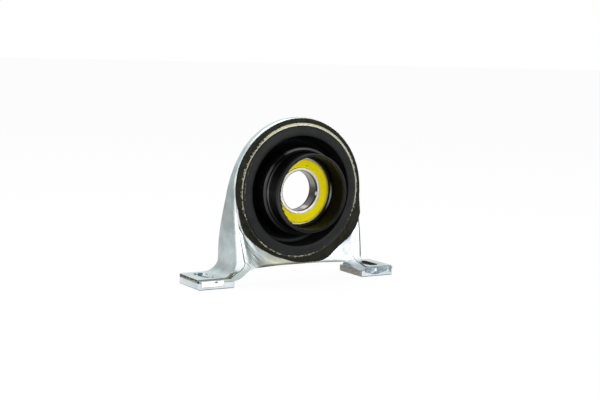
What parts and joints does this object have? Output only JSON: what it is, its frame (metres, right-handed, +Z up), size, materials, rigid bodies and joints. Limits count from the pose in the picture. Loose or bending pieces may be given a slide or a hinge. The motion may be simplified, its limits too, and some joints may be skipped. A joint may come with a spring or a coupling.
{
  "type": "driveshaft centre bearing",
  "caption": "Driveshaft centre support bearing: sealed ball bearing held in a folded rubber cushion inside a zinc plated pressed steel bracket with slotted feet.",
  "frame": {"origin": "centre of the bounding box's underside, on the plane the feet stand on", "axes": "+X across the feet, +Y back along the shaft away from the dust tube, +Z up"},
  "size_m": [0.1976, 0.0566, 0.1444],
  "materials": {
    "zinc_plated_steel": "bright zinc plating, pale blue grey, satin",
    "zinc_plated_weld": "plated weld bead, glossy",
    "worn_ring_edge": "worn cream edge",
    "black_rubber": "moulded, satin",
    "olive_rubber_skin": "thin moulding flash, satin",
    "bearing_steel": "ground",
    "cage_steel": "pressed strip",
    "yellow_seal": "yellow sealing rubber, satin"
  },
  "bodies": {
    "bracket": {"strap": "zinc_plated_steel", "front_plate": "zinc_plated_steel", "foot_pad_left": "zinc_plated_steel", "foot_pad_right": "zinc_plated_steel", "foot_weld_left": "zinc_plated_weld", "foot_weld_right": "zinc_plated_weld", "rim_rubber": "olive_rubber_skin", "outer_ring": "worn_ring_edge", "rubber_cushion": "black_rubber", "bearing_sleeve": "bearing_steel", "outer_race": "bearing_steel", "seal_front": "yellow_seal", "seal_rear": "yellow_seal"},
    "inner_ring": {"inner_race": "bearing_steel"},
    "ball_cage": {"cage_front": "cage_steel", "cage_rear": "cage_steel", "ball_1": "bearing_steel", "ball_2": "bearing_steel", "ball_3": "bearing_steel", "ball_4": "bearing_steel", "ball_5": "bearing_steel", "ball_6": "bearing_steel", "ball_7": "bearing_steel", "ball_8": "bearing_steel", "ball_9": "bearing_steel", "ball_10": "bearing_steel", "ball_11": "bearing_steel"}
  },
  "joints": [
    {"name": "shaft_spin", "type": "hinge", "parent": "bracket", "child": "inner_ring", "pos_m": [0, 0.0005, 0.08045], "axis": [0, 1, 0], "continuous": true},
    {"name": "cage_spin", "type": "hinge", "parent": "bracket", "child": "ball_cage", "pos_m": [0, 0.0005, 0.08045], "axis": [0, 1, 0], "continuous": true}
  ],
  "couplings": [
    {"joint": "cage_spin", "follows": "shaft_spin", "ratio": 0.41817}
  ]
}
